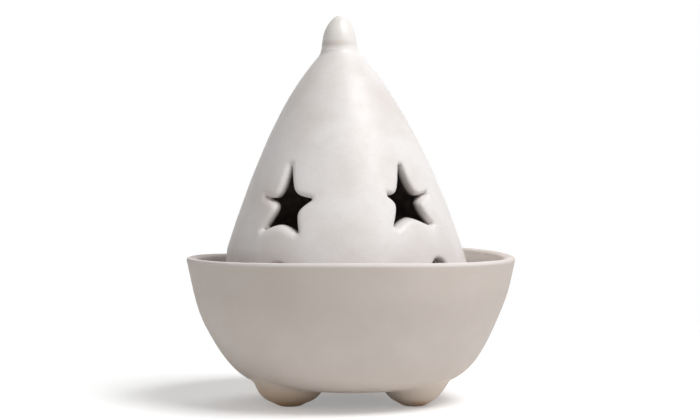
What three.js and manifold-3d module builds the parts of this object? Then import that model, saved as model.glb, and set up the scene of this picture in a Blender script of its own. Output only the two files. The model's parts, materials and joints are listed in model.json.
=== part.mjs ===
// Incense cone burner: a footed bisque bowl and a pierced cone-shaped lid that stands on its inner ledge.
// Millimetres, +Z up. The origin is on the bowl's axis, on the table that the three ball feet stand on.
// +X is to the right and -Y is the front, so an azimuth counts from -Y and grows towards +X.
import * as THREE from "three";
import { mergeVertices } from "three/addons/utils/BufferGeometryUtils.js";
import Module from "manifold-3d";

// Bowl
const rimRadius = 52.5; // widest point of the rim
const rimHeight = 46.6; // top of the rim above the table
const bowlWall = 3.5;
const bowlUnderside = 5.2; // the bowl's flat bottom above the table
const bottomRadius = 14.5; // flat part of the bottom
const bellyWidth = 20; // how far the underside runs out level before it turns up
const bellyHeight = 26.3; // how far the belly runs straight down from the knee, where it meets the wall
const rimFlare = rad(12.4); // lean of the straight wall, from the ledge up
const kneeTurn = rad(11.3); // how much more the belly leans than the wall does where they meet
const kneeRounding = 5; // length of the soft turn between them, on each side of the knee
const rimOuterRounding = 0.9;
const rimInnerRounding = 1.6;

// Ledge inside the bowl
const ledgeHeight = 31.5; // its top above the table
const ledgeThickness = 3;
const ledgeRounding = 0.8; // of its inner edge
const seatRelief = 1; // fillet between the ledge and the wall above it

// Ball feet
const footRadius = 11.8;
const footFlat = 0.4; // worn flat on the table
const footCircle = 23; // the balls' centres from the bowl's axis
const footNames = ["foot_left", "foot_right", "foot_back"];
const footAzimuths = [-56.5, 59.4, 181.5];

// Rest for the incense cone
const restRadius = 14;
const restTopRadius = 9.5; // flat top that the cone stands on
const restThickness = 4.2;
const restEdge = 1.3; // raised edge round the flat top

// Lid
const lidHeight = 81.7; // from the ledge to the seat of the knob
const lidWall = 3.4;
const lidPlay = 3; // free space round the lid's foot when it stands in the middle
const lidNarrowGap = 1; // what is left of it on the side that the lid has slid to
const lidFootLean = rad(14.5); // the shell leans in by this much at its foot
const shoulderRadius = 6.6; // where the shell turns up into its neck
const shoulderLean = rad(42.7);
const neckRadius = 5.6;
const neckHeight = 1.95;
const shellPull = 24.6; // how far both ends of the shell's curve run straight
const crownThickness = 4; // clay between the hollow and the seat of the knob
const lidFootChamfer = 0.8;
const slump = 1.7; // the tip has sunk this far to the left in firing
const slumpStart = 24; // from this height above the lid's foot

// Star windows, cut level through the shell
const starCount = 5;
const starAzimuth = -33.8; // of the first one
const starRise = 34.4; // middle of a star above the lid's foot
const starHeight = 20.8;
const starWidth = 15.4;

// Draught holes, pierced by hand at uneven places just above the rim
const ventRadius = 3.7;
const ventRise = 10.8; // middle of a level hole above the lid's foot
const ventUneven = [1.02, 1.15, 0.98, 1, 1]; // each hole's own rise, as a share of that
const ventAzimuths = [-31.4, 50, 120, 187, 257];

// Knob
const knobRadius = 5.6;
const knobHeight = 11;

// Clearance between pieces that are luted together on curved faces
const lutingGap = 0.3;

// Facets
const roundSegments = 64;
const curveSteps = 11;

const wasm = await Module();
wasm.setup();

function rad(degrees) {
  return (degrees * Math.PI) / 180;
}

// Point at a distance and an azimuth from the axis, the front being azimuth 0.
function around(distance, azimuth) {
  return [distance * Math.sin(rad(azimuth)), -distance * Math.cos(rad(azimuth))];
}

function material(colour, roughness) {
  return new THREE.MeshStandardMaterial({ color: colour, roughness, metalness: 0 });
}

// Turns a profile of [radius, height] points round the Z axis. The profile runs from the axis at the bottom,
// round the outside and back to the axis, so that the faces point out.
function turned(profile, segments = roundSegments) {
  const points = profile.map(([r, z]) => new THREE.Vector2(r, z));
  return new THREE.LatheGeometry(points, segments).rotateX(Math.PI / 2);
}

function toSolid(geometry) {
  const bare = new THREE.BufferGeometry();
  bare.setAttribute("position", geometry.getAttribute("position"));
  bare.setIndex(geometry.index);
  const merged = mergeVertices(bare, 1e-4);
  return new wasm.Manifold(
    new wasm.Mesh({
      numProp: 3,
      vertProperties: new Float32Array(merged.getAttribute("position").array),
      triVerts: new Uint32Array(merged.index.array),
    }),
  );
}

function toGeometry(solid) {
  const mesh = solid.getMesh();
  const geometry = new THREE.BufferGeometry();
  geometry.setAttribute("position", new THREE.BufferAttribute(mesh.vertProperties, 3));
  geometry.setIndex(new THREE.BufferAttribute(mesh.triVerts, 1));
  geometry.computeVertexNormals();
  return geometry;
}

// Points [radius, height] of a curve moved sideways by a distance, positive to the right of its direction.
function beside(curve, distance, steps = curveSteps) {
  const points = [];
  for (let i = 0; i <= steps; i++) {
    const at = curve.getPoint(i / steps);
    const along = curve.getTangent(i / steps);
    points.push([at.x + along.y * distance, at.y - along.x * distance]);
  }
  return points;
}

// The bowl's straight wall: its normal in the profile's plane and its outer face's distance from the origin.
const wallNormal = new THREE.Vector2(Math.cos(rimFlare), -Math.sin(rimFlare));
const lipOuterCentre = new THREE.Vector2(rimRadius - rimOuterRounding, rimHeight - rimOuterRounding);
const wallDistance = wallNormal.dot(lipOuterCentre) + rimOuterRounding;

// Radius of the straight wall at a height, at a depth below its outer face.
function wallRadiusAt(height, depth = 0) {
  return (wallDistance - depth - wallNormal.y * height) / wallNormal.x;
}

// Wherever the lid slides in its seat, its whole foot stays on the ledge.
const seatRadius = wallRadiusAt(ledgeHeight, bowlWall);
const lidRadius = seatRadius - lidPlay;
const ledgeInnerRadius = lidRadius - lidWall - lidPlay;
const lidShift = lidNarrowGap - lidPlay;
const floorHeight = bowlUnderside + bowlWall;

// Outside of the bowl's belly, from the flat bottom to the knee, which is level with the ledge.
function bellyOutside() {
  const knee = new THREE.Vector2(wallRadiusAt(ledgeHeight), ledgeHeight);
  const lean = rimFlare + kneeTurn;
  return new THREE.CubicBezierCurve(
    new THREE.Vector2(bottomRadius, bowlUnderside),
    new THREE.Vector2(bottomRadius + bellyWidth, bowlUnderside),
    new THREE.Vector2(knee.x - bellyHeight * Math.sin(lean), knee.y - bellyHeight * Math.cos(lean)),
    knee,
  );
}

// Soft turn from the belly into the straight wall.
function kneeBend() {
  const belly = bellyOutside();
  const bendTop = ledgeHeight + kneeRounding;
  return new THREE.QuadraticBezierCurve(
    belly.getPointAt(1 - kneeRounding / belly.getLength()),
    belly.getPoint(1),
    new THREE.Vector2(wallRadiusAt(bendTop), bendTop),
  );
}

// Level lip over the end of the wall, with a small outer and a larger inner rounding.
function rimLip(steps = 4) {
  const innerHeight = rimHeight - rimInnerRounding;
  const inner = [wallRadiusAt(innerHeight, bowlWall) + rimInnerRounding / wallNormal.x, innerHeight];
  const arc = ([r, z], rounding, from, to) =>
    Array.from({ length: steps + 1 }, (_, i) => {
      const angle = from + ((to - from) * i) / steps;
      return [r + rounding * Math.cos(angle), z + rounding * Math.sin(angle)];
    });
  return [
    ...arc(lipOuterCentre.toArray(), rimOuterRounding, -rimFlare, Math.PI / 2),
    ...arc(inner, rimInnerRounding, Math.PI / 2, Math.PI - rimFlare),
  ];
}

// The ledge is a flange: level on top, with a sloping underside that runs out into the wall.
function bowlGeometry() {
  const noseBottom = ledgeHeight - ledgeThickness;
  const belowLedge = ([r, z]) => z < noseBottom - (r - ledgeInnerRadius);
  const inside = beside(bellyOutside(), -bowlWall).reverse();
  const bend = beside(kneeBend(), 0, 4);
  const belowBend = ([, z]) => z < bend[0][1] - kneeRounding / 4;
  return turned([
    [0, bowlUnderside],
    ...beside(bellyOutside(), 0).filter(belowBend),
    ...bend,
    ...rimLip(),
    [wallRadiusAt(ledgeHeight + seatRelief, bowlWall), ledgeHeight + seatRelief],
    [seatRadius, ledgeHeight],
    [ledgeInnerRadius + ledgeRounding, ledgeHeight],
    [ledgeInnerRadius, ledgeHeight - ledgeRounding],
    [ledgeInnerRadius, noseBottom],
    ...inside.filter(belowLedge),
    [0, floorHeight],
  ]);
}

// Space that the bowl fills below its knee, hollow included, grown by a clearance.
function bellyEnvelope(clearance) {
  return toSolid(
    turned([
      [0, bowlUnderside - clearance],
      ...beside(bellyOutside(), clearance),
      [0, ledgeHeight],
    ]),
  );
}

// A ball luted under the bowl and rubbed flat where it stands.
function footGeometry(azimuth) {
  const [x, y] = around(footCircle, azimuth);
  const ball = new THREE.SphereGeometry(footRadius, 32, 16);
  ball.rotateX(Math.PI / 2).translate(x, y, footRadius - footFlat);
  const side = 4 * footRadius;
  const table = new THREE.BoxGeometry(side, side, side).translate(x, y, -side / 2);
  return toGeometry(toSolid(ball).subtract(toSolid(table)).subtract(bellyEnvelope(lutingGap)));
}

// Outline of the rest from its foot over the raised edge to the flat top, as shares of the edge's width (going
// in), of the disc's thickness and of the edge's rise above it.
const restOutline = [
  [0, 0, 0],
  [0.1, 0.6, 0],
  [0.35, 1, 0.8],
  [0.5, 1, 1],
  [0.7, 1, 0.7],
  [1, 1, 0],
];

function coneRestGeometry() {
  const edgeWidth = restRadius - restTopRadius;
  const edge = restOutline.map(([inward, up, rise]) => [
    restRadius - edgeWidth * inward,
    restThickness * up + restEdge * rise,
  ]);
  return turned([[0, 0], ...edge, [0, restThickness]], 48);
}

// Outside of the lid's shell, from its foot to the shoulder below the neck.
function shellOutside() {
  const shoulderHeight = lidHeight - neckHeight;
  return new THREE.CubicBezierCurve(
    new THREE.Vector2(lidRadius, 0),
    new THREE.Vector2(
      lidRadius - shellPull * Math.sin(lidFootLean),
      shellPull * Math.cos(lidFootLean),
    ),
    new THREE.Vector2(
      shoulderRadius + shellPull * Math.sin(shoulderLean),
      shoulderHeight - shellPull * Math.cos(shoulderLean),
    ),
    new THREE.Vector2(shoulderRadius, shoulderHeight),
  );
}

// Hollow fillet from the shoulder up to the neck that carries the knob.
function neckFillet() {
  const reach = (shoulderRadius - neckRadius) / Math.tan(shoulderLean);
  const shoulderHeight = lidHeight - neckHeight;
  return new THREE.QuadraticBezierCurve(
    new THREE.Vector2(shoulderRadius, shoulderHeight),
    new THREE.Vector2(neckRadius, shoulderHeight + reach),
    new THREE.Vector2(neckRadius, lidHeight),
  );
}

function shellSolid() {
  const outside = beside(shellOutside(), 0, 14).slice(1);
  const inside = beside(shellOutside(), -lidWall, 10).slice(1, -1).reverse();
  const [crownRadius, crownHeight] = inside[0];
  const crownFlatness = 0.6; // how far the hollow's top runs out level, as a share of its radius
  const crown = new THREE.QuadraticBezierCurve(
    new THREE.Vector2(0, lidHeight - crownThickness),
    new THREE.Vector2(crownRadius * crownFlatness, lidHeight - crownThickness),
    new THREE.Vector2(crownRadius, crownHeight),
  );
  return toSolid(
    turned([
      [lidRadius - lidWall, 0],
      [lidRadius - lidFootChamfer, 0],
      [lidRadius, lidFootChamfer],
      ...outside,
      ...beside(neckFillet(), 0, 3).slice(1),
      [0, lidHeight],
      ...beside(crown, 0, 3).slice(0, -1),
      ...inside,
      [lidRadius - lidWall, 0],
    ]),
  );
}

// Half of a star's outline, from its top point down the right side to the notch between its legs, as shares
// of half the star's width and of half its height.
const starHalf = [
  [0, 1],
  [0.49, 0.13],
  [1, 0.04],
  [0.64, -0.39],
  [0.91, -1],
  [0, -0.745],
];

// Star with slightly hollow sides.
function starShape() {
  const left = starHalf.slice(1, -1).reverse().map(([x, y]) => [-x, y]);
  const corners = [...starHalf, ...left].map(([x, y]) => [(x * starWidth) / 2, (y * starHeight) / 2]);
  const hollow = 0.06; // how far a side's middle is drawn in towards the star's middle, as a share
  const shape = new THREE.Shape();
  shape.moveTo(...corners[0]);
  corners.forEach(([x0, y0], i) => {
    const [x1, y1] = corners[(i + 1) % corners.length];
    const middle = [((x0 + x1) / 2) * (1 - hollow), ((y0 + y1) / 2) * (1 - hollow)];
    shape.quadraticCurveTo(...middle, x1, y1);
  });
  return shape;
}

// Punch that runs level from inside the hollow out through the shell, at an azimuth and a height.
function punch(shape, azimuth, rise, steps) {
  const inner = lidRadius * 0.3;
  const outer = lidRadius * 1.4;
  const geometry = new THREE.ExtrudeGeometry(shape, {
    depth: outer - inner,
    bevelEnabled: false,
    curveSegments: steps,
  });
  // The outline's plane stands upright and faces the front.
  geometry.translate(0, 0, inner).rotateX(Math.PI / 2).rotateZ(rad(azimuth)).translate(0, 0, rise);
  return toSolid(geometry);
}

// The tip leans further the higher it is, and each level of the shell stays level.
function slumpAt(height) {
  const share = Math.max(0, height - slumpStart) / (lidHeight - slumpStart);
  return -slump * share ** 1.5;
}

function lidGeometry() {
  let shell = shellSolid();
  for (let i = 0; i < starCount; i++) {
    shell = shell.subtract(punch(starShape(), starAzimuth + (360 * i) / starCount, starRise, 2));
  }
  const ventShape = new THREE.Shape().absarc(0, 0, ventRadius, 0, 2 * Math.PI);
  ventAzimuths.forEach((azimuth, i) => {
    shell = shell.subtract(punch(ventShape, azimuth, ventRise * ventUneven[i], 8));
  });
  const geometry = toGeometry(shell);
  const position = geometry.getAttribute("position");
  for (let i = 0; i < position.count; i++) {
    position.setX(i, position.getX(i) + slumpAt(position.getZ(i)));
  }
  return geometry;
}

// Half an ellipsoid, as wide at its foot as the neck that it is luted on.
function knobGeometry(steps = 9) {
  const profile = [[0, 0]];
  for (let i = 0; i < steps; i++) {
    const angle = (Math.PI / 2) * (i / steps);
    profile.push([knobRadius * Math.cos(angle), knobHeight * Math.sin(angle)]);
  }
  profile.push([0, knobHeight]);
  return turned(profile, 32);
}

function piece(name, geometry, colour, roughness) {
  const mesh = new THREE.Mesh(geometry, material(colour, roughness));
  mesh.name = name;
  return mesh;
}

const burner = new THREE.Group();

const bowlGroup = new THREE.Group();
bowlGroup.add(piece("bowl", bowlGeometry(), 0xd9d3d0, 0.8));
footNames.forEach((name, i) => {
  bowlGroup.add(piece(name, footGeometry(footAzimuths[i]), 0xd2c8bf, 0.85));
});
const coneRest = piece("cone_rest", coneRestGeometry(), 0xcfc8c2, 0.9);
coneRest.position.z = floorHeight;
bowlGroup.add(coneRest);
burner.add(bowlGroup);

const lidGroup = new THREE.Group();
lidGroup.position.set(lidShift, 0, ledgeHeight);
lidGroup.add(piece("lid", lidGeometry(), 0xe0dcdc, 0.75));
const knob = piece("knob", knobGeometry(), 0xe4dfdb, 0.7);
knob.position.set(slumpAt(lidHeight), 0, lidHeight);
lidGroup.add(knob);
burner.add(lidGroup);

export default burner;
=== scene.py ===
"""Incense cone burner in white bisque: the fired clay surfaces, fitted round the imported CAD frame.

Shapes are worked out in millimetres in the frame's own axes (+Z up, -Y the front) and scaled to metres when
a mesh is made. An azimuth counts from the front and grows towards +X. A pair of numbers for smooth_step says
where a change starts and where it is complete.
"""

import json
import math

import bpy
import numpy as np
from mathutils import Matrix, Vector


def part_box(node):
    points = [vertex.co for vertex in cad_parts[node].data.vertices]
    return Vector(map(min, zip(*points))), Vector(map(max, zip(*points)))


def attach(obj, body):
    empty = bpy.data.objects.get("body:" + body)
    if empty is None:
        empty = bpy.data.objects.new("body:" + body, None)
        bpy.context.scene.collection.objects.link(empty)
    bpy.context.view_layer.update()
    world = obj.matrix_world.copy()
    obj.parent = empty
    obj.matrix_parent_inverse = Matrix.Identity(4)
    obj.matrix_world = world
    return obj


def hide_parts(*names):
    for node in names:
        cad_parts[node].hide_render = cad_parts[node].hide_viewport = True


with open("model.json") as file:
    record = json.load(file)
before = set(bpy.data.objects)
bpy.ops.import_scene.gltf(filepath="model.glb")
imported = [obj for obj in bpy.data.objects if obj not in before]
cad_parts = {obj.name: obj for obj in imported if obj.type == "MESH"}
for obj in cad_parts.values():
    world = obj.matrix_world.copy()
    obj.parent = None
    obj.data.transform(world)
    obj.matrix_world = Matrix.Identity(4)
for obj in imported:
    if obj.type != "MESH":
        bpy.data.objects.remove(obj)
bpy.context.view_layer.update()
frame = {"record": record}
MM = 0.001


# Sizes read from the frame, in millimetres

def extent(node):
    """Lowest and highest corner of a CAD node, in millimetres."""
    low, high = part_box(node)
    return np.array(low) / MM, np.array(high) / MM


BOWL_LOW, BOWL_HIGH = extent("bowl")
LID_LOW, LID_HIGH = extent("lid")
KNOB_LOW, KNOB_HIGH = extent("knob")
REST_LOW, REST_HIGH = extent("cone_rest")
MOUNTS = {m["name"]: np.array(m["pos_m"]) / MM for m in frame["record"]["mounts"]}

LEDGE_HEIGHT = LID_LOW[2]
LID_CENTRE = (LID_LOW[0] + LID_HIGH[0]) / 2
LID_RADIUS = (LID_HIGH[0] - LID_LOW[0]) / 2
LID_HEIGHT = LID_HIGH[2] - LID_LOW[2]

# Bowl
RIM_RADIUS = BOWL_HIGH[0]
BOWL_WALL = 3.5
BOTTOM_RADIUS = 14.5
BELLY_WIDTH = 20.0
BELLY_HEIGHT = 26.3
RIM_FLARE = math.radians(12.4)
RIM_ROUNDING = 0.9
KNEE_TURN = math.radians(11.3)
KNEE_ROUNDING = 6.5
LIP_OUTER = 0.75
LIP_INNER = 1.1
LIP_FALL = 0.25
# Where the outer edge of the lip ends and the inner one begins, as angles from level
LIP_OUTER_END = math.pi / 2 + 0.05
LIP_INNER_START = math.pi / 2 + 0.1
LEDGE_INNER_RADIUS = 36.4
LEDGE_THICKNESS = 3.0
LEDGE_ROUNDING = 0.4
SEAT_FILLET = 1.0
# The rim rose and fell a little in firing: azimuth, spread in degrees, height in millimetres.
RIM_WARP = ((135, 30, 1.35), (105, 15, 0.15), (-132, 16, -0.45), (0, 32, 0.5))
# The wall sways to the side: height, spread and reach, in millimetres.
WALL_SWAY = ((27, 7, -0.4), (11, 4, 0.15))
# Unevenness of hand work round an axis, for waves(): size, count of waves, turn for each millimetre up, phase
BOWL_UNEVEN = ((0.12, 2, 0, 0.6), (0.08, 3, 0, -1.1), (0.03, 7, 1 / 9, 0))
BOWL_RINGS = ((0.012, 1, 2 * math.pi / 3.4, 0),)
BOWL_SWELL = 0.2
# Where the warp of the rim and the unevenness of the wall set in, by height, and by radius for the wall
WARP_HEIGHTS = (LEDGE_HEIGHT + 2, BOWL_HIGH[2])
UNEVEN_HEIGHTS = (BOWL_LOW[2], BOWL_LOW[2] + 9)
UNEVEN_RADII = (BOTTOM_RADIUS, RIM_RADIUS * 0.8)

# Places on the bowl that are painted for its material: heights below the rim, the depth under the outer face of
# the wall, and distances to the back (y) and the right (x). They carry a painted highlight on the front of the
# lip, painted shade on its back, and painted light on the wall under it at the back right.
LIP_TOP = (1.4, 0.8)
LIP_FRONT = (10, -40)
INNER_DEPTH = (0.6, 1.6)
BACK = (-5, 15)
BACK_LIP = (1.7, 0.8)
BACK_LIP_LEFT = (20, -20)
BACK_LIP_LEAST = 0.4
LIGHT_BAND_TOP = (0.5, 1.6)
LIGHT_BAND_END = (6, 2)
LIGHT_BAND_RIGHT = (0, 25)

# Cone rest: its flat top, the lean of its side, the radius from which it is uneven, and its raised edge as
# distances in from its radius and down from its highest line
REST_FLAT = 9.5
REST_LEAN = 0.4
REST_PRESSED = 8.0
REST_EDGE = ((1.5, 0.3), (2.3, 0.0), (3.2, 0.4))
REST_UNEVEN = ((0.12, 3, 0, 1), (0.08, 5, 1, 0))

# Feet
FOOT_RADIUS = 11.8
FOOT_FLAT = 0.4
# How much each ball is drawn in below its middle, as a share of its radius, and the softness of its seam
FEET = {"foot_left": (-0.02, 1.3), "foot_right": (0.034, 0.8), "foot_back": (0.01, 1.0)}
# Places on a ball, in degrees from straight down: middle and spread of where it is drawn in and where it is a
# little pointed, and where it spreads to the bowl
DRAWN_PLACE = (52, 18)
POINTED_PLACE = (26, 11)
POINTED = 0.03
SPREAD_PLACE = (64, 88)
SPREAD = 0.026
FOOT_UNEVEN = 0.006
FOOT_FLAT_EDGE = 0.5
# The bowl's own normal over a foot leans out by this much, and the ball is shaped this far round it.
FOOT_LEAN = math.radians(20)
FOOT_REACH = math.radians(86)
# The skin of a foot runs this far under the bowl's surface at the seam. It dips further between two distances
# past the ball, given as shares of the seam's softness, and its hidden side lies deeper.
SEAM_SKIN = 0.02
SEAM_DIP = 0.6
DIP_START, DIP_END = 0.7, 1.6
HIDDEN_DEPTH = 1.6

# Lid
LID_WALL = 3.4
LID_FOOT_LEAN = math.radians(14.5)
SHOULDER_RADIUS = 6.6
SHOULDER_LEAN = math.radians(42.7)
NECK_RADIUS = 5.6
NECK_HEIGHT = 1.95
SHELL_PULL = 24.6
CROWN_THICKNESS = 4.0
CROWN_PULL = 0.6
SEAT_CHAMFER = 0.4
LID_FOOT_ROUNDING = ((1.1, 0), (0.3, 0.3), (0, 1.1))
LID_FOOT_TOP = 1.5
SLUMP = 1.7
SLUMP_START = 24.0
TIP_SLOPE = 1.5 * SLUMP / (LID_HEIGHT - SLUMP_START)
# A small sway to the left: height above the lid's foot, spread and reach
LID_SWAY = (66, 13, 0.2)
FOOT_SQUEEZE = 1.1
SQUEEZE_HEIGHTS = (50 - LEDGE_HEIGHT, 45 - LEDGE_HEIGHT)
LID_UNEVEN = ((0.09, 3, 1 / 17, 0), (0.06, 5, -1 / 11, 2), (0.02, 1, 1 / 2.1, 0))
LID_SHRUNK = 0.12
UNEVEN_START = (3, 14)
UNEVEN_END = (LID_HEIGHT - 2, LID_HEIGHT - 12)
# Grid spacing of the lid's field, the space round the lid, and a distance that is surely outside a window
LID_CELL = 0.67
LID_MARGIN = 1.5
OUTSIDE = 3.0
INNER_EDGE = 0.8
# Smoke on the lid: depth through the wall, and height above the foot
SOOT_WALL = (0.35, 1.05)
SOOT_HEIGHTS = (14, 22)
# Clay of the luting under the knob: a short stem, with its middle and half its height from the seat of the knob
# and the softness of its edge and fillet, and more clay on the right of the neck, as thickness at heights above
# that seat
STEM_RADIUS = 5.42
STEM_ASIDE = 0.08
STEM_MIDDLE = -1.1
STEM_HALF = 1.3
STEM_EDGE = 0.4
STEM_FILLET = 1.5
LUTING = ((-5.0, 0.0), (-3.8, 0.18), (-2.2, 0.3), (-1.0, 0.3), (0.0, 0.15))

# Star windows, each cut by hand: azimuth, softness of the outer edge, taper, bluntness of the tips, then the
# tips and the notches between them, clockwise from the top tip, in millimetres across and up from the middle of
# the window. The knife was held at a slant, so each window narrows inwards by the taper.
STAR_RISE = 34.4
STARS = (
    (
        -33.8, 2.0, 0.12, 0.35,
        ((-1.3, 10.1), (8.3, -0.5), (5.9, -10.8), (-7.4, -10.1), (-9.4, 0.3)),
        ((2.2, 2.0), (4.7, -4.6), (-1.2, -8.6), (-4.1, -3.1), (-3.9, 0.8)),
    ),
    (
        38.2, 1.2, 0.28, 0.75,
        ((0.9, 10.5), (9.9, 1.3), (8.3, -8.8), (-7.0, -9.4), (-6.9, 1.0)),
        ((4.0, 1.8), (5.3, -2.4), (-0.3, -6.9), (-5.0, -2.6), (-3.6, 2.1)),
    ),
    (
        110.2, 1.7, 0.2, 0.5,
        ((-0.3, 10.2), (8.4, 0.3), (6.9, -9.2), (-7.3, -9.6), (-8.1, 0.9)),
        ((3.6, 1.6), (4.7, -3.6), (-0.2, -7.8), (-4.4, -3.1), (-3.5, 1.2)),
    ),
    (
        182.2, 1.5, 0.25, 0.6,
        ((0.4, 10.0), (8.0, 1.0), (7.4, -9.4), (-6.7, -9.3), (-8.4, 0.2)),
        ((3.4, 1.3), (4.9, -3.2), (0.4, -7.9), (-4.6, -3.8), (-3.8, 1.7)),
    ),
    (
        254.2, 1.8, 0.15, 0.4,
        ((-0.6, 9.9), (8.3, -0.1), (6.5, -9.8), (-7.6, -8.9), (-8.0, 1.2)),
        ((3.3, 1.8), (4.5, -3.8), (-0.5, -7.7), (-4.9, -2.9), (-3.6, 1.9)),
    ),
)

# Draught holes: azimuth and rise of each, pierced by hand
VENT_RADIUS = 3.7
VENT_EDGE = 1.5
VENTS = ((-32.2, 10.6), (49.2, 11.9), (120, 10.6), (187, 10.8), (257, 10.8))

# Knob
KNOB_RADIUS = (KNOB_HIGH[1] - KNOB_LOW[1]) / 2 + 0.05
KNOB_HEIGHT = KNOB_HIGH[2] - KNOB_LOW[2]
KNOB_ASIDE = 0.1
KNOB_POINT = 0.12
KNOB_UNEVEN = ((0.008, 2, 0, 0.5), (0.006, 3, 4, 0))
# Steps to the right, as where each starts and is complete, in shares of the knob's height, and its reach
KNOB_BEND = ((0.7, 0.1, 0.1), (0.4, 0.95, 0.35))
# Foot of the knob, in the clay of the luting: heights above its seat, and how much wider than the knob it is
KNOB_FOOT = (
    (-1.7, 0.48), (-1.2, 0.45), (-0.9, 0.37), (-0.5, 0.25), (0.0, 0.15), (0.4, 0.09), (0.9, 0.03), (1.6, 0.0)
)
DOME_START = 1.7


# Curves and small tools

def bezier(points, steps=48):
    """Points along a Bezier curve of any degree."""
    t = np.linspace(0, 1, steps + 1)[:, None]
    rows = [np.array(p, float) + 0 * t for p in points]
    while len(rows) > 1:
        rows = [a * (1 - t) + b * t for a, b in zip(rows, rows[1:])]
    return rows[0]


def beside(curve, distance):
    """A curve moved sideways, to the right of its direction where the distance is positive."""
    along = np.gradient(curve, axis=0)
    along /= np.linalg.norm(along, axis=1)[:, None]
    return curve + distance * np.stack([along[:, 1], -along[:, 0]], 1)


def soften(points, step, passes):
    """The same open line with even steps and its corners rounded. Its ends stay."""
    lengths = np.r_[0, np.cumsum(np.linalg.norm(np.diff(points, axis=0), axis=1))]
    even = np.linspace(0, lengths[-1], int(lengths[-1] / step) + 1)
    line = np.stack([np.interp(even, lengths, points[:, i]) for i in range(2)], 1)
    for _ in range(passes):
        line[1:-1] = (line[:-2] + 2 * line[1:-1] + line[2:]) / 4
    return line


def thin(line, gap=1.0, bend=math.radians(4)):
    """The same line with fewer points: one for each length or each turn that is given."""
    along = np.diff(line, axis=0)
    length = np.linalg.norm(along, axis=1)
    heading = np.unwrap(np.arctan2(along[:, 1], along[:, 0]))
    kept, spent = [0], 0.0
    for i in range(1, len(line) - 1):
        spent += length[i - 1] / gap + abs(heading[i] - heading[i - 1]) / bend
        if spent >= 1:
            kept.append(i)
            spent = 0.0
    return line[kept + [len(line) - 1]]


def smooth_step(value, start, end):
    """0 up to the start and 1 from the end on, with a soft change between them."""
    t = np.clip((value - start) / (end - start), 0, 1)
    return t * t * (3 - 2 * t)


def smooth_max(a, b, softness):
    """The larger of two distances, rounded over where they are nearly the same."""
    h = np.maximum(softness - np.abs(a - b), 0) / softness
    return np.maximum(a, b) + h * h * softness / 4


def gauss(value, centre, spread):
    return np.exp(-(((value - centre) / spread) ** 2))


def bump_at(azimuth, centre, spread):
    """1 at an azimuth in degrees, falling off to both sides."""
    return gauss((azimuth - centre + 180) % 360 - 180, 0, spread)


def waves(turns, height, terms):
    """Sum of waves round an axis, from an azimuth in radians and a height."""
    return sum(size * np.sin(count * turns + pitch * height + phase) for size, count, pitch, phase in terms)


def new_piece(name, vertices, faces, node, body, material):
    """Mesh object from millimetre vertices, which stands for a CAD node and rides on its body."""
    mesh = bpy.data.meshes.new(name)
    mesh.from_pydata((np.asarray(vertices) * MM).tolist(), [], [list(map(int, f)) for f in faces])
    mesh.polygons.foreach_set("use_smooth", [True] * len(mesh.polygons))
    mesh.update()
    piece = bpy.data.objects.new(name, mesh)
    bpy.context.scene.collection.objects.link(piece)
    mesh.materials.append(material)
    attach(piece, body)
    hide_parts(node)
    return piece


def add_node(tree, kind, inputs=(), **settings):
    """New shader node in a tree, with each input given a value or linked to another node's output."""
    node = tree.nodes.new("ShaderNode" + kind)
    for name, value in settings.items():
        setattr(node, name, value)
    for socket, value in dict(inputs).items():
        if isinstance(value, bpy.types.NodeSocket):
            tree.links.new(value, node.inputs[socket])
        else:
            node.inputs[socket].default_value = value
    return node


def paint(piece, name, share):
    """Keeps a share from 0 to 1 at each vertex of a piece, for its material."""
    layer = piece.data.attributes.new(name, "FLOAT", "POINT")
    layer.data.foreach_set("value", share.astype(np.float32))


def turn(profile, segments):
    """Closed quad mesh of a profile of (radius, height) turned round Z. Both ends of the profile are on the
    axis, and it runs up the outside."""
    rings = profile[1:-1]
    angle = np.arange(segments) * 2 * np.pi / segments
    x = rings[:, :1] * np.sin(angle)
    y = -rings[:, :1] * np.cos(angle)
    z = np.repeat(rings[:, 1:], segments, 1)
    vertices = np.stack([x, y, z], 2).reshape(-1, 3)
    start, end = len(vertices), len(vertices) + 1
    vertices = np.vstack([vertices, [[0, 0, profile[0, 1]], [0, 0, profile[-1, 1]]]])
    faces = []
    for k in range(segments):
        n = (k + 1) % segments
        faces.append((start, n, k))
        for i in range(len(rings) - 1):
            a, b = i * segments, (i + 1) * segments
            faces.append((a + k, a + n, b + n, b + k))
        last = (len(rings) - 1) * segments
        faces.append((last + k, last + n, end))
    return vertices, faces


# Bowl, cone rest and feet

def wall_radius(height, depth=0.0):
    """Radius of the bowl's straight wall at a height, at a depth below its outer face."""
    normal = np.array([math.cos(RIM_FLARE), -math.sin(RIM_FLARE)])
    face = normal @ [RIM_RADIUS - RIM_ROUNDING, BOWL_HIGH[2] - RIM_ROUNDING] + RIM_ROUNDING
    return (face - depth - normal[1] * height) / normal[0]


def bowl_outside():
    """Outer line of the bowl, from the edge of its flat bottom over the soft knee up to the lip."""
    knee = np.array([wall_radius(LEDGE_HEIGHT), LEDGE_HEIGHT])
    lean = RIM_FLARE + KNEE_TURN
    start = np.array([BOTTOM_RADIUS, BOWL_LOW[2]])
    back = BELLY_HEIGHT * np.array([math.sin(lean), math.cos(lean)])
    belly = bezier([start, start + [BELLY_WIDTH, 0], knee - back, knee])
    belly = belly[np.linalg.norm(belly - knee, axis=1) > KNEE_ROUNDING]
    top = LEDGE_HEIGHT + KNEE_ROUNDING
    bend = bezier([belly[-1], knee, [wall_radius(top), top]], 16)
    lip = BOWL_HIGH[2] - LIP_OUTER
    return np.vstack([belly[:-1], bend, [[wall_radius(lip), lip]]])


def arc(centre, radius, start, end, steps=9):
    angle = np.linspace(start, end, steps)
    return np.array(centre) + radius * np.stack([np.cos(angle), np.sin(angle)], 1)


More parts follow.
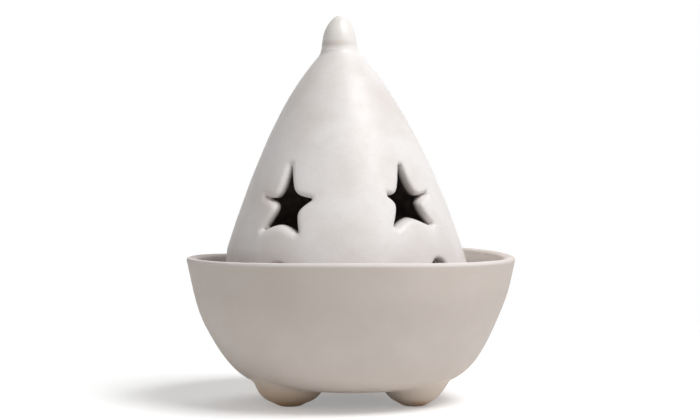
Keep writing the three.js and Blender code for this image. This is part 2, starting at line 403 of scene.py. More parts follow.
def bowl_profile():
    """Whole section of the bowl: bottom, outside, lip, inner wall, ledge and floor. The lip has a crisp outer
    edge, and its top falls a little to a softer inner one."""
    outside = bowl_outside()
    outer_height = BOWL_HIGH[2] - LIP_OUTER
    inner_height = BOWL_HIGH[2] - LIP_FALL - LIP_INNER
    outer = [wall_radius(outer_height, LIP_OUTER), outer_height]
    inner = [wall_radius(inner_height, BOWL_WALL - LIP_INNER), inner_height]
    seat = wall_radius(LEDGE_HEIGHT, BOWL_WALL)
    inside = beside(outside, -BOWL_WALL)[::-1]
    nose_bottom = LEDGE_HEIGHT - LEDGE_THICKNESS
    below = inside[:, 1] < nose_bottom - (inside[:, 0] - LEDGE_INNER_RADIUS)
    line = np.vstack([
        [[0, BOWL_LOW[2]]],
        outside,
        arc(outer, LIP_OUTER, -RIM_FLARE, LIP_OUTER_END)[1:],
        arc(inner, LIP_INNER, LIP_INNER_START, math.pi - RIM_FLARE),
        [[wall_radius(LEDGE_HEIGHT + SEAT_FILLET, BOWL_WALL), LEDGE_HEIGHT + SEAT_FILLET]],
        [[seat - 0.3 * SEAT_FILLET, LEDGE_HEIGHT + 0.1 * SEAT_FILLET], [seat - SEAT_FILLET, LEDGE_HEIGHT]],
        [[LEDGE_INNER_RADIUS + LEDGE_ROUNDING, LEDGE_HEIGHT]],
        [[LEDGE_INNER_RADIUS, LEDGE_HEIGHT - LEDGE_ROUNDING]],
        [[LEDGE_INNER_RADIUS, nose_bottom]],
        inside[below],
        [[0, BOWL_LOW[2] + BOWL_WALL]],
    ])
    return thin(soften(line, 0.25, 5))


def hand_thrown(points):
    """Moves points of the bowl and its feet as one: a rim that isn't quite level, a wall that is slightly oval
    and sways a little with height, and faint throwing rings. The ledge's top and the underside stay level."""
    x, y, z = points.T
    azimuth = np.degrees(np.arctan2(x, -y))
    radius = np.hypot(x, y)
    near_rim = smooth_step(z, *WARP_HEIGHTS)
    lift = sum(height * bump_at(azimuth, at, spread) for at, spread, height in RIM_WARP)
    uneven = BOWL_SWELL + waves(np.radians(azimuth), z, BOWL_UNEVEN + BOWL_RINGS)
    wall = smooth_step(radius, *UNEVEN_RADII) * smooth_step(z, *UNEVEN_HEIGHTS)
    share = 1 + uneven * wall / np.maximum(radius, 1)
    sway = sum(reach * gauss(z, at, spread) for at, spread, reach in WALL_SWAY)
    return np.stack([x * share + sway * wall, y * share, z + lift * near_rim], 1)


def make_bowl(segments=280):
    vertices, faces = turn(bowl_profile(), segments)
    x, y, z = vertices.T
    placed = hand_thrown(vertices)
    bowl = new_piece("bowl_clay", placed, faces, "bowl", "bowl", bowl_material())
    below_rim = BOWL_HIGH[2] - z
    depth = RIM_RADIUS - below_rim * math.tan(RIM_FLARE) - np.hypot(x, y)
    inside = smooth_step(depth, *INNER_DEPTH) * (z > LEDGE_HEIGHT - 0.5)
    back = inside * smooth_step(y, *BACK)
    left = BACK_LIP_LEAST + (1 - BACK_LIP_LEAST) * smooth_step(x, *BACK_LIP_LEFT)
    light_band = smooth_step(below_rim, *LIGHT_BAND_TOP) * smooth_step(below_rim, *LIGHT_BAND_END)
    # The lip's share is a painted highlight along its front
    paint(bowl, "lip", smooth_step(below_rim, *LIP_TOP) * smooth_step(y, *LIP_FRONT))
    # The inside share also bounds the painted shadow of the lid on the wall
    paint(bowl, "inside", inside)
    # Painted shade on the back of the lip, more on the left
    paint(bowl, "back_lip_shade", back * smooth_step(below_rim, *BACK_LIP) * left)
    # Painted light on the wall under the lip at the back right
    paint(bowl, "under_lip_light", back * smooth_step(x, *LIGHT_BAND_RIGHT) * light_band)


def make_cone_rest(segments=144):
    """Low disc of clay with a shallow raised edge, pressed on to the floor of the bowl."""
    radius = REST_HIGH[0]
    top = MOUNTS["cone_seat"][2]
    line = np.array([
        [0, REST_LOW[2]],
        [radius, REST_LOW[2]],
        [radius - REST_LEAN, (REST_LOW[2] + top) / 2],
        *([radius - inwards, REST_HIGH[2] - below] for inwards, below in REST_EDGE),
        [REST_FLAT, top],
        [0, top],
    ])
    vertices, faces = turn(soften(line, 0.3, 3), segments)
    x, y, z = vertices.T
    pressed = waves(np.arctan2(x, -y), z, REST_UNEVEN)
    share = 1 + pressed * smooth_step(np.hypot(x, y), REST_PRESSED, radius) / radius
    vertices = np.stack([x * share, y * share, z], 1)
    new_piece("cone_rest_clay", vertices, faces, "cone_rest", "bowl", rest_material())


def reach_of_bowl(centre, directions, furthest=60.0, halvings=30):
    """How far from a point inside the bowl's outer form each direction leaves that form."""
    outside = bowl_outside()
    near, far = np.zeros(len(directions)), np.full(len(directions), furthest)
    for _ in range(halvings):
        middle = (near + far) / 2
        p = centre + directions * middle[:, None]
        limit = np.interp(p[:, 2], outside[:, 1], outside[:, 0])
        within = (p[:, 2] > BOWL_LOW[2]) & (np.hypot(p[:, 0], p[:, 1]) < limit)
        near = np.where(within, middle, near)
        far = np.where(within, far, middle)
    return near


def make_foot(name, rings=54, segments=120):
    """Ball of clay luted under the bowl: its seam is smoothed out over the bowl to a feather edge, and it is
    rubbed flat where it stands."""
    x, y, _ = MOUNTS[name + "_rest"]
    drawn, seam = FEET[name]
    centre = np.array([x, y, FOOT_RADIUS - FOOT_FLAT])
    out = np.array([x, y, 0]) / math.hypot(x, y)
    down = np.array([0, 0, -1.0])
    # The rays fan out round the bowl's own normal under the foot, so that the seam is nearly round.
    axis = down * math.cos(FOOT_LEAN) + out * math.sin(FOOT_LEAN)
    side = np.cross(out, down)
    other = np.cross(axis, side)
    tilt = np.linspace(0, FOOT_REACH, rings)[1:, None]
    spin = np.arange(segments) * 2 * np.pi / segments
    fan = (
        np.cos(tilt)[..., None] * axis
        + (np.sin(tilt) * np.cos(spin))[..., None] * side
        + (np.sin(tilt) * np.sin(spin))[..., None] * other
    ).reshape(-1, 3)
    fan = np.vstack([fan, axis])
    # The ball is drawn in a little below its middle and spreads to the bowl above.
    tilted = np.degrees(np.arccos(np.clip(-fan[:, 2], -1, 1)))
    form = SPREAD * seam * smooth_step(tilted, *SPREAD_PLACE) - drawn * gauss(tilted, *DRAWN_PLACE)
    form -= POINTED * gauss(tilted, *POINTED_PLACE)
    form += FOOT_UNEVEN * np.sin(3 * np.arctan2(fan @ other, fan @ side) + x)
    ball = FOOT_RADIUS * (1 + form)
    bowl = reach_of_bowl(centre, fan)
    reach = smooth_max(ball, bowl - SEAM_SKIN, seam)
    reach -= SEAM_DIP * smooth_step(bowl - ball, seam * DIP_START, seam * DIP_END)
    with np.errstate(divide="ignore"):
        table = np.where(fan[:, 2] < 0, -centre[2] / fan[:, 2], 1e3)
    reach = -smooth_max(-reach, -table, FOOT_FLAT_EDGE)
    vertices = centre + fan * reach[:, None]
    vertices[:, 2] = np.maximum(vertices[:, 2], 0)
    # On the other side the ball ends in a face that stays inside the bowl's wall.
    hidden = centre + fan * (bowl - HIDDEN_DEPTH)[:, None]
    vertices = hand_thrown(np.vstack([vertices, hidden]))
    count = len(fan)
    tip = count - 1
    last = (rings - 2) * segments
    faces = []
    for k in range(segments):
        n = (k + 1) % segments
        faces += [(tip, k, n), (count + tip, count + n, count + k)]
        for a in range(0, last, segments):
            b = a + segments
            faces.append((a + n, a + k, b + k, b + n))
            faces.append((count + a + k, count + a + n, count + b + n, count + b + k))
        faces.append((last + n, last + k, count + last + k, count + last + n))
    new_piece(name + "_clay", vertices, faces, name, "bowl", foot_material())


# Lid, made as a field of distances so that every cut edge is softly rounded

class Outline:
    """Signed distance to a closed outline, negative inside, looked up on a fine grid."""

    def __init__(self, points, step=0.1, margin=OUTSIDE):
        start = np.array(points, float)
        self.step = step
        self.low = start.min(0) - margin
        counts = np.ceil((start.max(0) + margin - self.low) / step).astype(int) + 1
        x, y = np.meshgrid(*(a + step * np.arange(n) for a, n in zip(self.low, counts)), indexing="ij")
        least = np.full(x.shape, np.inf)
        inside = np.zeros(x.shape, bool)
        for (ax, ay), (bx, by) in zip(start, np.roll(start, -1, 0)):
            dx, dy = bx - ax, by - ay
            if dx == dy == 0:
                continue
            t = np.clip(((x - ax) * dx + (y - ay) * dy) / (dx * dx + dy * dy), 0, 1)
            least = np.minimum(least, (x - ax - t * dx) ** 2 + (y - ay - t * dy) ** 2)
            if dy != 0:
                inside ^= ((ay > y) != (by > y)) & (x < ax + (y - ay) * dx / dy)
        self.field = np.sqrt(least) * np.where(inside, -1, 1)

    def at(self, x, y):
        u = np.clip((x - self.low[0]) / self.step, 0, self.field.shape[0] - 1.001)
        v = np.clip((y - self.low[1]) / self.step, 0, self.field.shape[1] - 1.001)
        i, j = u.astype(int), v.astype(int)
        u, v = u - i, v - j
        near = self.field[i, j] * (1 - u) + self.field[i + 1, j] * u
        far = self.field[i, j + 1] * (1 - u) + self.field[i + 1, j + 1] * u
        return near * (1 - v) + far * v


def shell_line():
    """Outer line of the lid's shell, from its foot to the shoulder, in its own heights above the foot."""
    shoulder = np.array([SHOULDER_RADIUS, LID_HEIGHT - NECK_HEIGHT])
    foot = np.array([LID_RADIUS, 0])
    return bezier([
        foot,
        foot + SHELL_PULL * np.array([-math.sin(LID_FOOT_LEAN), math.cos(LID_FOOT_LEAN)]),
        shoulder + SHELL_PULL * np.array([math.sin(SHOULDER_LEAN), -math.cos(SHOULDER_LEAN)]),
        shoulder,
    ])


def neck_line():
    """Outer line of the neck, from the shoulder up to the seat of the knob."""
    shoulder = np.array([SHOULDER_RADIUS, LID_HEIGHT - NECK_HEIGHT])
    reach = (SHOULDER_RADIUS - NECK_RADIUS) / math.tan(SHOULDER_LEAN)
    top = LID_HEIGHT - SEAT_CHAMFER
    return bezier([shoulder, [NECK_RADIUS, shoulder[1] + reach], [NECK_RADIUS, top]], 12)


def shell_section():
    """Section through the whole shell: an arch of clay with a rounded foot on both sides of the axis."""
    outside = shell_line()
    seat = [[NECK_RADIUS - SEAT_CHAMFER, LID_HEIGHT]]
    inside = beside(outside, -LID_WALL)[1:-1][::-1]
    top = LID_HEIGHT - CROWN_THICKNESS
    crown = bezier([[0, top], [inside[0, 0] * CROWN_PULL, top], inside[0]], 10)
    inner_foot = [[LID_RADIUS - LID_WALL + a, b] for a, b in LID_FOOT_ROUNDING[::-1]]
    outer_foot = [[LID_RADIUS - a, b] for a, b in LID_FOOT_ROUNDING]
    outside = outside[outside[:, 1] > LID_FOOT_TOP]
    right = np.vstack([inner_foot, outer_foot, outside, neck_line()[1:], seat])
    hollow = np.vstack([crown[:-1], inside[inside[:, 1] > LID_FOOT_TOP]])
    mirror = [-1, 1]
    return np.vstack([right, right[::-1] * mirror, hollow[::-1] * mirror, hollow])


def star_outline(tips, notches, blunt):
    """Star with blunt tips and rounded notches, each notch reached by a curve from tip to tip."""
    sides = []
    for tip, notch, following in zip(tips, notches, tips[1:] + tips[:1]):
        a, b = np.array(tip), np.array(following)
        a = a + blunt * np.array([a[1], -a[0]]) / np.hypot(*a)
        b = b - blunt * np.array([b[1], -b[0]]) / np.hypot(*b)
        pull = (8 * np.array(notch) - a - b) / 6
        sides.append(bezier([a, pull, pull, b], 14))
    return np.vstack(sides)


def circle_outline(radius, count=48):
    angle = np.arange(count) * 2 * np.pi / count
    return radius * np.stack([np.cos(angle), np.sin(angle)], 1)


def surface_net(value, low, step):
    """Closed quad mesh where a grid of values crosses zero, with one vertex in each cell that the surface
    passes."""
    cells = tuple(n - 1 for n in value.shape)
    places, corners = [], []
    for axis in range(3):
        first = [slice(None)] * 3
        second = [slice(None)] * 3
        first[axis], second[axis] = slice(None, -1), slice(1, None)
        a, b = value[tuple(first)], value[tuple(second)]
        change = (a < 0) != (b < 0)
        at = np.argwhere(change)
        a, b = a[change], b[change]
        crossing = at.astype(float)
        crossing[:, axis] += a / (a - b)
        u, v = (axis + 1) % 3, (axis + 2) % 3
        around = []
        for du, dv in ((0, 0), (-1, 0), (-1, -1), (0, -1)):
            cell = at.copy()
            cell[:, u] += du
            cell[:, v] += dv
            around.append(np.ravel_multi_index(cell.T, cells))
        around = np.stack(around, 1)
        around[a >= 0] = around[a >= 0][:, ::-1]
        corners.append(around)
        places.append(np.repeat(crossing, 4, 0))
    corners, places = np.vstack(corners), np.vstack(places)
    _, quads = np.unique(corners.ravel(), return_inverse=True)
    count = np.bincount(quads)
    vertices = np.stack([np.bincount(quads, places[:, k]) / count for k in range(3)], 1)
    return low + step * vertices, quads.reshape(-1, 4)


def slumped(points):
    """The slump of the lid's tip, from points in the lid's own heights: it has sunk a little to the left, more
    the higher it is, and the top is tilted with it. The left of the foot is squeezed in."""
    x, y, z = points.T
    share = np.clip((z - SLUMP_START) / (LID_HEIGHT - SLUMP_START), 0, 1)
    slope = TIP_SLOPE * np.sqrt(share) * smooth_step(share, 0.5, 1)
    at, spread, sway = LID_SWAY
    squeeze = FOOT_SQUEEZE * smooth_step(z, *SQUEEZE_HEIGHTS) * np.clip(-x / LID_RADIUS, 0, 1) ** 2
    aside = squeeze - SLUMP * share**1.5 - sway * gauss(z, at, spread)
    return np.stack([x + aside, y, z + x * slope], 1)


def make_lid(drawing_rounds=3, probe=0.15, least_slope=0.25):
    section = Outline(shell_section(), 0.15)
    outside = shell_line()
    inside = beside(outside, -LID_WALL)
    cuts = [
        (azimuth, STAR_RISE, edge, taper, Outline(star_outline(tips, notches, blunt)))
        for azimuth, edge, taper, blunt, tips, notches in STARS
    ]
    vent = Outline(circle_outline(VENT_RADIUS))
    cuts += [(azimuth, rise, VENT_EDGE, 0.0, vent) for azimuth, rise in VENTS]

    def depth_share(radius, z):
        """0 on the outer face of the shell and 1 on the inner one."""
        outer = np.interp(z, outside[:, 1], outside[:, 0])
        inner = np.interp(z, inside[:, 1], inside[:, 0], right=0)
        return (outer - radius) / (outer - inner)

    def field(x, y, z):
        radius = np.hypot(x, y)
        turns = np.arctan2(x, -y)
        hand = waves(turns, z, LID_UNEVEN) - LID_SHRUNK
        hand *= smooth_step(z, *UNEVEN_START) * smooth_step(z, *UNEVEN_END)
        above = z - LID_HEIGHT
        collar = np.interp(above, *zip(*LUTING)) * (radius > NECK_RADIUS - 1) * (1 + np.sin(turns)) / 2
        stem = np.hypot(x + STEM_ASIDE, y) - STEM_RADIUS
        stem = smooth_max(stem, np.abs(above - STEM_MIDDLE) - STEM_HALF, STEM_EDGE)
        distance = -smooth_max(collar - hand - section.at(radius, z), -stem, STEM_FILLET)
        depth = np.clip(depth_share(radius, z), 0, 1)
        for azimuth, rise, edge, taper, outline in cuts:
            a = math.radians(azimuth)
            across = x * math.cos(a) + y * math.sin(a)
            forward = x * math.sin(a) - y * math.cos(a)
            hole = outline.at(across, z - rise) + taper * LID_WALL * depth
            hole = np.where(forward > 0, hole, OUTSIDE)
            distance = smooth_max(distance, -hole, edge + (INNER_EDGE - edge) * depth)
        return distance

    low = np.array([-LID_RADIUS, -LID_RADIUS, 0]) - LID_MARGIN
    high = np.array([LID_RADIUS, LID_RADIUS, LID_HEIGHT]) + LID_MARGIN
    counts = np.ceil((high - low) / LID_CELL).astype(int)
    x, y, z = np.meshgrid(*(a + LID_CELL * np.arange(n) for a, n in zip(low, counts)), indexing="ij")
    value = section.at(np.hypot(x, y), z)
    near = np.abs(value) < 3 * LID_CELL + LID_WALL / 2
    value[near] = field(x[near], y[near], z[near])
    vertices, quads = surface_net(value, low, LID_CELL)
    # Each vertex is drawn on to the true surface along the field's slope.
    steps = probe * np.eye(3)
    for _ in range(drawing_rounds):
        here = field(*vertices.T)
        rises = [field(*(vertices + step).T) - field(*(vertices - step).T) for step in steps]
        slope = np.stack(rises, 1) / (2 * probe)
        vertices -= slope * (here / np.maximum((slope**2).sum(1), least_slope))[:, None]

    depth = depth_share(np.hypot(vertices[:, 0], vertices[:, 1]), vertices[:, 2])
    placed = slumped(vertices) + [LID_CENTRE, 0, LID_LOW[2]]
    lid = new_piece("lid_clay", placed, quads, "lid", "lid", lid_material())
    paint(lid, "soot", smooth_step(depth, *SOOT_WALL) * smooth_step(vertices[:, 2], *SOOT_HEIGHTS))


def make_knob(rows=44, segments=112):
    """Acorn of clay set on the neck, standing in the fillet of its luting."""
    angle = np.linspace(math.asin(DOME_START / KNOB_HEIGHT), np.pi / 2, rows)
    across = KNOB_RADIUS * np.cos(angle) ** (1 + KNOB_POINT * np.sin(angle))
    dome = np.stack([across, KNOB_HEIGHT * np.sin(angle)], 1)
    dome[-1, 0] = 0
    foot = [[KNOB_RADIUS + wider, z] for z, wider in KNOB_FOOT]
    line = np.vstack([[[0, foot[0][1]]], foot, dome])
    vertices, faces = turn(soften(line, 0.2, 3), segments)
    x, y, z = vertices.T
    rise = np.clip(z / KNOB_HEIGHT, 0, 1)
    share = 1 + waves(np.arctan2(x, -y), rise, KNOB_UNEVEN)
    # Its foot follows the leaning neck, and its tip points straight up.
    aside = sum(reach * smooth_step(rise, start, end) for start, end, reach in KNOB_BEND)
    centre = [(KNOB_LOW[0] + KNOB_HIGH[0]) / 2 - KNOB_ASIDE, 0, LID_HIGH[2]]
    placed = np.stack([x * share + aside, y * share, z + x * TIP_SLOPE * (1 - rise)], 1) + centre
    new_piece("knob_clay", placed, faces, "knob", "lid", knob_material())


# Materials

class Nodes:
    """Shorthand for building a material's node tree."""

    def __init__(self, name):
        self.material = bpy.data.materials.new(name)
        self.material.use_nodes = True
        self.tree = self.material.node_tree
        self.shader = self.tree.nodes["Principled BSDF"]
        self.place = self.add("TexCoord").outputs["Object"]

    def add(self, kind, inputs=(), **settings):
        return add_node(self.tree, kind, inputs, **settings)

    def noise(self, size, detail=3.0, roughness=0.55, stretch=None):
        """Noise whose features are about size millimetres across."""
        place = self.place
        if stretch:
            place = self.add("Mapping", {"Vector": place, "Scale": stretch}).outputs["Vector"]
        return self.add(
            "TexNoise",
            {"Vector": place, "Scale": 1 / (size * MM), "Detail": detail, "Roughness": roughness},
        ).outputs["Fac"]

    def range(self, value, low, high, to_low=0.0, to_high=1.0):
        return self.add(
            "MapRange",
            {"Value": value, "From Min": low, "From Max": high, "To Min": to_low, "To Max": to_high},
        ).outputs["Result"]

    def math(self, operation, a, b):
        return self.add("Math", {0: a, 1: b}, operation=operation).outputs[0]

    def times(self, a, b):
        return self.math("MULTIPLY", a, b)

    def plus(self, a, b):
        return self.math("ADD", a, b)

    def mix(self, share, first, second):
        inputs = {"Factor": share, "A": first, "B": second}
        return self.add("Mix", inputs, data_type="RGBA").outputs["Result"]

    def height(self):
        """Height above the table, in metres."""
        return self.add("SeparateXYZ", {"Vector": self.place}).outputs["Z"]

    def aside(self):
        """Distance to the right of the axis, in metres."""
        return self.add("SeparateXYZ", {"Vector": self.place}).outputs["X"]

    def from_axis(self):
        """Distance from the axis, in metres."""
        flat = self.add("VectorMath", {0: self.place, 1: (1.0, 1.0, 0.0)}, operation="MULTIPLY")
        return self.add("VectorMath", {0: flat.outputs[0]}, operation="LENGTH").outputs["Value"]

    def painted(self, name, most=1.0):
        """A share that paint() keeps, scaled so that 1 gives the most."""
        return self.times(self.add("Attribute", attribute_name=name).outputs["Fac"], most)

    def finish(self, colour, roughness, bump):
        for name, value in (("Base Color", colour), ("Roughness", roughness), ("Normal", bump)):
            self.tree.links.new(value, self.shader.inputs[name])
        return self.material


def display(red, green, blue):
    """A colour as it looks on a screen, from 0 to 1, as the linear colour that a shader takes."""
    channels = (c / 12.92 if c <= 0.04045 else ((c + 0.055) / 1.055) ** 2.4 for c in (red, green, blue))
    return (*channels, 1.0)


BOWL_CLAY = display(0.862, 0.824, 0.797)
FOOT_CLAY = display(0.93, 0.885, 0.84)
REST_CLAY = display(0.83, 0.80, 0.77)
LID_CLAY = display(0.91, 0.897, 0.893)
KNOB_CLAY = display(0.93, 0.917, 0.903)
CLAY_SHADE = display(0.82, 0.78, 0.745)
# Painted warm bounce from the table, on the lower bowl
TABLE_BOUNCE_WARMTH = display(0.835, 0.775, 0.725)
# Painted shade towards the rim of the bowl
UNDER_RIM_SHADE = display(0.78, 0.735, 0.70)
# Painted shadow of the lid on the inner wall
LID_SHADOW_GREY = display(0.60, 0.56, 0.56)
# Painted shade on the back of the lip
BACK_LIP_SHADE = display(0.72, 0.69, 0.67)
# Painted light on the inner wall under the lip
UNDER_LIP_LIGHT = display(0.96, 0.93, 0.91)
# Painted highlight along the front of the lip
LIP_HIGHLIGHT = display(0.92, 0.89, 0.885)
# Painted warm bounce from the table and painted shade, on the feet
FOOT_BOUNCE_AND_SHADE = display(0.87, 0.765, 0.66)
FOOT_SCORCH = display(0.86, 0.70, 0.51)
FOOT_DIRT = display(0.80, 0.70, 0.60)
# Painted shade in the crease at the foot of the knob
KNOB_CREASE_SHADE = display(0.70, 0.62, 0.54)
# Colour of the iron specks, and of the painted shade in the pinholes
IRON_AND_PIT_SHADE = display(0.60, 0.53, 0.46)
SOOT = display(0.44, 0.40, 0.375)
SOOT_DEEP = display(0.33, 0.295, 0.275)
ASH = display(0.66, 0.645, 0.63)


def specks(nodes, spacing, radius, share):
    """1 inside small round spots, scattered in some cells of a given spacing, all in millimetres."""
    cells = nodes.add("TexVoronoi", {"Vector": nodes.place, "Scale": 1 / (spacing * MM)})
    chosen = nodes.add("SeparateColor", {"Color": cells.outputs["Color"]}).outputs["Red"]
    spot = nodes.range(cells.outputs["Distance"], radius / spacing, 0.45 * radius / spacing)
    return nodes.times(spot, nodes.math("LESS_THAN", chosen, share))


def bisque(name, clay, toning, tooth=1.0, rough=(0.66, 0.86), specular=0.35):
    """Unglazed white clay: faint clouding, a few iron specks, pinholes with painted shade in them, and a fine
    tooth under soft tool marks. toning is a function that paints a piece's own stains over the clay, and for
    the bowl, feet and knob painted light and shade as well."""
    m = Nodes(name)
    m.shader.inputs["Specular IOR Level"].default_value = specular
    clouds = m.range(m.noise(17, 3), 0.38, 0.66, 0, 0.5)
    colour = m.mix(clouds, clay, CLAY_SHADE)
    grit = m.noise(0.9, 4, 0.65)
    colour = m.mix(m.range(grit, 0.52, 0.8, 0, 0.35), colour, CLAY_SHADE)
    iron = specks(m, 3.4, 0.16, 0.3)
    colour = m.mix(m.times(iron, 0.55), colour, IRON_AND_PIT_SHADE)
    pits = specks(m, 6.5, 0.22, 0.45)
    # Pinholes are darkened with the iron colour: painted shade in the pits
    colour = m.mix(m.times(pits, 0.45), colour, IRON_AND_PIT_SHADE)
    colour = toning(m, colour)

    # Relief, in millimetres
    rings = m.noise(5, 2, 0.5, stretch=(0.12, 0.12, 1.0))
    sponge = m.noise(3.2, 3, 0.5)
    fine = m.noise(0.35, 2, 0.6)
    height = m.times(grit, 0.045 * tooth)
    for relief, rise in ((fine, 0.018 * tooth), (rings, 0.035), (sponge, 0.05), (pits, -0.12)):
        height = m.plus(height, m.times(relief, rise))
    bump = m.add("Bump", {"Height": height, "Distance": MM, "Strength": 1.0}).outputs["Normal"]
    roughness = m.range(m.noise(2.6, 3), 0.3, 0.7, *rough)
    return m.finish(colour, roughness, bump)


def bowl_material():
    def toning(m, colour):
        radius = m.from_axis()
        uneven = m.times(m.noise(11, 3), 8 * MM)
        # Painted warm bounce light from the table: the clay is warmer and a little darker towards the bottom.
        low = m.range(m.plus(m.height(), uneven), 20 * MM, 6 * MM, 0, 0.6)
        colour = m.mix(low, colour, TABLE_BOUNCE_WARMTH)
        # Painted shade greys it a little towards the rim.
        rim_shade = m.range(m.plus(m.height(), uneven), 24 * MM, 38 * MM, 0, 0.35)
        colour = m.mix(rim_shade, colour, UNDER_RIM_SHADE)
        # A light dusting of ash and smoke lies on the floor, inside the wall.
        inner = m.range(m.plus(radius, uneven), 34 * MM, 18 * MM, 0, 0.5)
        above = m.math("GREATER_THAN", m.height(), (BOWL_LOW[2] + BOWL_WALL - 0.4) * MM)
        colour = m.mix(m.times(inner, above), colour, ASH)
        # Painted shadow of the lid greys the left of the wall, inside.
        left = m.range(m.plus(m.aside(), uneven), -24 * MM, -42 * MM)
        above = m.range(m.height(), (LEDGE_HEIGHT - 1) * MM, (LEDGE_HEIGHT + 2) * MM)
        lid_shadow = m.times(m.times(m.painted("inside", 0.75), left), above)
        colour = m.mix(lid_shadow, colour, LID_SHADOW_GREY)
        # Painted shade greys the lip at the back, and painted light makes the wall under it paler on the right.
        colour = m.mix(m.painted("back_lip_shade", 0.6), colour, BACK_LIP_SHADE)
        # Painted light on the wall under the lip at the back right
        colour = m.mix(m.painted("under_lip_light", 0.95), colour, UNDER_LIP_LIGHT)
        # A painted highlight makes the lip pale at the front.
        return m.mix(m.painted("lip", 0.75), colour, LIP_HIGHLIGHT)

    return bisque("bowl_bisque_clay", BOWL_CLAY, toning)


def foot_material():
    def toning(m, colour):
        uneven = m.times(m.noise(7, 3), 3 * MM)
        # Painted warm bounce from the table and painted shade: the clay is warmer and darker towards the table,
        # more on the left.
        shaded_left = m.range(m.aside(), 14 * MM, -16 * MM, 0.4, 1)
        low = m.range(m.plus(m.height(), uneven), 11 * MM, 2.5 * MM, 0.15, 1)
        colour = m.mix(m.times(low, shaded_left), colour, FOOT_BOUNCE_AND_SHADE)
        # A scorched line runs just above the standing face, which has picked up a little dirt.
        scorch = m.range(m.noise(4, 3), 0.35, 0.6)
        scorch = m.times(m.range(m.height(), 2.6 * MM, 1.2 * MM), scorch)
        colour = m.mix(m.times(scorch, 0.75), colour, FOOT_SCORCH)
        worn = m.range(m.height(), 0.9 * MM, 0.1 * MM, 0, 0.8)
        return m.mix(worn, colour, FOOT_DIRT)

    return bisque("foot_bisque_clay", FOOT_CLAY, toning, tooth=1.2)


def rest_material():
    def toning(m, colour):
        radius = m.from_axis()
        uneven = m.times(m.noise(3.5, 4), 4 * MM)
        scorch = m.range(m.plus(radius, uneven), 10.5 * MM, 5 * MM, 0, 0.85)
        colour = m.mix(scorch, colour, SOOT)
        return m.mix(m.range(m.noise(2.2, 4), 0.52, 0.68, 0, 0.5), colour, ASH)

    return bisque("rest_bisque_clay", REST_CLAY, toning, tooth=1.6)


def lid_material():
    def toning(m, colour):
        # Smoke has stained the hollow side above its foot, patchily at its edges.
        dark = m.mix(m.range(m.noise(8, 4), 0.4, 0.65), SOOT, SOOT_DEEP)
        patchy = m.times(m.painted("soot"), m.range(m.noise(2.4, 3), 0.25, 0.6, 0.86, 1.0))
        return m.mix(patchy, colour, dark)

    return bisque("lid_bisque_clay", LID_CLAY, toning, tooth=0.6, rough=(0.41, 0.51), specular=0.5)


def knob_material():
    def toning(m, colour):
        # Painted shade: a faint warm darkening in the crease round the foot of the knob, more on the left.
        base = KNOB_LOW[2] * MM
        level = m.plus(m.height(), m.times(m.noise(4, 3), 0.8 * MM))
        above = m.range(level, base + 3.4 * MM, base + 1.9 * MM)
        crease_shade = m.times(above, m.range(m.height(), base + 0.5 * MM, base + 1.4 * MM))
        crease_shade = m.times(crease_shade, m.range(m.aside(), 2 * MM, -7 * MM, 0.15, 0.45))
        return m.mix(crease_shade, colour, KNOB_CREASE_SHADE)

    return bisque("knob_bisque_clay", KNOB_CLAY, toning, tooth=0.4, rough=(0.34, 0.46), specular=0.55)


# Stage, light and camera

# Camera: lengths in millimetres, apart from the nearest and furthest that it sees, in metres.
CAMERA_DISTANCE = 566.0
CAMERA_HEIGHT = 73.4
CAMERA_ASIDE = -0.3
CAMERA_LENS = 90.5
CAMERA_SENSOR = 36
CAMERA_REACH = (0.01, 20)
CAMERA_PITCH = math.radians(1.2)
# Lamps: azimuth and elevation in degrees, and power in watts. Lengths here and for the floor are in metres.
LAMPS = {"key_lamp": (49, 55, 7.55), "low_lamp": (-60, 8, 0.55), "back_lamp": (180, 45, 2.0)}
LAMP_DISTANCE = 0.9
LAMP_SIZE = 0.5
LAMP_TARGET = 0.06
FILL_COLOUR = (1.0, 0.985, 0.97, 1)
FILL_STRENGTH = 0.15
FLOOR_HALF = 2.0
FLOOR_PAPER = (0.9, 0.9, 0.9, 1)
FLOOR_LIFT = 0.3
FLOOR_FADE = (0.08, 0.32)


def through_lens(tree):
    """1 for rays that the camera sees, straight, in gloss or through glass, and 0 for those that light the
    object."""
    path = add_node(tree, "LightPath").outputs
    seen = path["Is Camera Ray"]
    for other in ("Is Glossy Ray", "Is Transmission Ray"):
        seen = add_node(tree, "Math", {0: seen, 1: path[other]}, operation="MAXIMUM").outputs[0]
    return seen


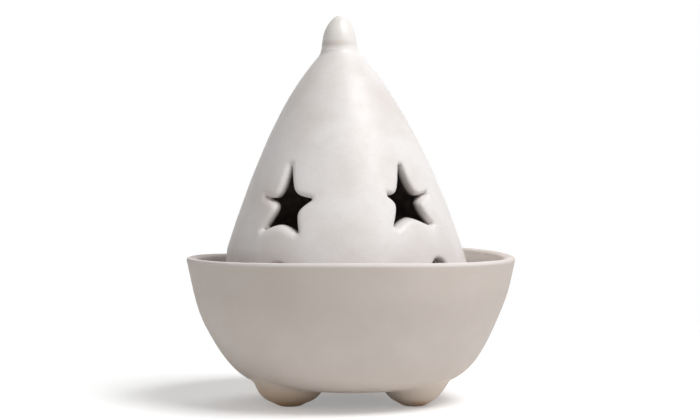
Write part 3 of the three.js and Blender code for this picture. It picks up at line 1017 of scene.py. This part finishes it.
def make_floor():
    """Pale floor which keeps the object's shadow and runs out into plain white."""
    mesh = bpy.data.meshes.new("floor")
    corners = [(x * FLOOR_HALF, y * FLOOR_HALF, 0) for x, y in ((-1, -1), (1, -1), (1, 1), (-1, 1))]
    mesh.from_pydata(corners, [], [(0, 1, 2, 3)])
    floor = bpy.data.objects.new("floor", mesh)
    bpy.context.scene.collection.objects.link(floor)
    material = bpy.data.materials.new("floor")
    material.use_nodes = True
    tree = material.node_tree
    tree.nodes.remove(tree.nodes["Principled BSDF"])
    paper = add_node(tree, "BsdfDiffuse", {"Color": FLOOR_PAPER}).outputs[0]
    lift = add_node(tree, "Emission", {"Strength": FLOOR_LIFT}).outputs[0]
    near = add_node(tree, "AddShader", {0: paper, 1: lift}).outputs[0]
    white = add_node(tree, "Emission", {"Strength": 1.0}).outputs[0]

    place = add_node(tree, "TexCoord").outputs["Object"]
    length = add_node(tree, "VectorMath", {0: place}, operation="LENGTH").outputs["Value"]
    start, end = FLOOR_FADE
    fade = add_node(
        tree,
        "MapRange",
        {"Value": length, "From Min": start, "From Max": end},
        interpolation_type="SMOOTHSTEP",
    ).outputs["Result"]
    seen = add_node(tree, "MixShader", {0: fade, 1: near, 2: white}).outputs[0]
    whole = add_node(tree, "MixShader", {0: through_lens(tree), 1: paper, 2: seen}).outputs[0]
    tree.links.new(whole, tree.nodes["Material Output"].inputs["Surface"])
    mesh.materials.append(material)


def make_world():
    """White to the camera, and a soft grey fill for the object."""
    world = bpy.data.worlds.new("studio")
    world.use_nodes = True
    tree = world.node_tree
    fill = tree.nodes["Background"]
    fill.inputs["Color"].default_value = FILL_COLOUR
    fill.inputs["Strength"].default_value = FILL_STRENGTH
    white = add_node(tree, "Background", {"Color": (1, 1, 1, 1)}).outputs[0]
    whole = add_node(tree, "MixShader", {0: through_lens(tree), 1: fill.outputs[0], 2: white}).outputs[0]
    tree.links.new(whole, tree.nodes["World Output"].inputs["Surface"])
    bpy.context.scene.world = world


def make_lamp(name, azimuth, elevation, power):
    """Soft square lamp that faces the middle of the object."""
    data = bpy.data.lights.new(name, "AREA")
    data.size, data.energy = LAMP_SIZE, power
    lamp = bpy.data.objects.new(name, data)
    bpy.context.scene.collection.objects.link(lamp)
    a, e = math.radians(azimuth), math.radians(elevation)
    away = Vector((math.sin(a) * math.cos(e), -math.cos(a) * math.cos(e), math.sin(e)))
    lamp.location = Vector((0, 0, LAMP_TARGET)) + away * LAMP_DISTANCE
    lamp.rotation_euler = away.to_track_quat("Z", "Y").to_euler()


def make_camera():
    data = bpy.data.cameras.new("camera")
    data.sensor_width, data.lens = CAMERA_SENSOR, CAMERA_LENS
    data.clip_start, data.clip_end = CAMERA_REACH
    camera = bpy.data.objects.new("camera", data)
    bpy.context.scene.collection.objects.link(camera)
    camera.location = Vector((CAMERA_ASIDE, -CAMERA_DISTANCE, CAMERA_HEIGHT)) * MM
    camera.rotation_euler = (math.pi / 2 - CAMERA_PITCH, 0, 0)
    bpy.context.scene.camera = camera


bpy.context.scene.view_settings.view_transform = "Standard"
make_camera()
make_bowl()
make_cone_rest()
for foot in FEET:
    make_foot(foot)
make_lid()
make_knob()
make_floor()
make_world()
for lamp_name, settings in LAMPS.items():
    make_lamp(lamp_name, *settings)
